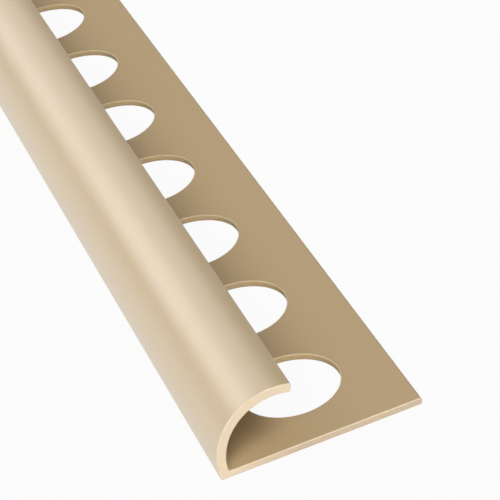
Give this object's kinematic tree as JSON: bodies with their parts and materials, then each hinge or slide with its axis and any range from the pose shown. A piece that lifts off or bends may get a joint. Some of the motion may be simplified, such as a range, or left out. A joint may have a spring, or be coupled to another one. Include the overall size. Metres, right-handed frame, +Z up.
{
  "type": "quarter-round tile trim",
  "caption": "Length of beige PVC quarter-round tile trim: a rounded nosing that covers the tile's cut edge, on a thin flange with a row of round keying holes.",
  "frame": {"origin": "middle of the flange's flat underside: half way along the length and across the width", "axes": "+X across the flange, away from the nosing; +Y along the length; +Z up, out of the bed"},
  "size_m": [0.0258, 1, 0.01],
  "materials": {
    "pvc": "satin"
  },
  "bodies": {
    "root": {"tile_trim": "pvc"}
  },
  "joints": []
}
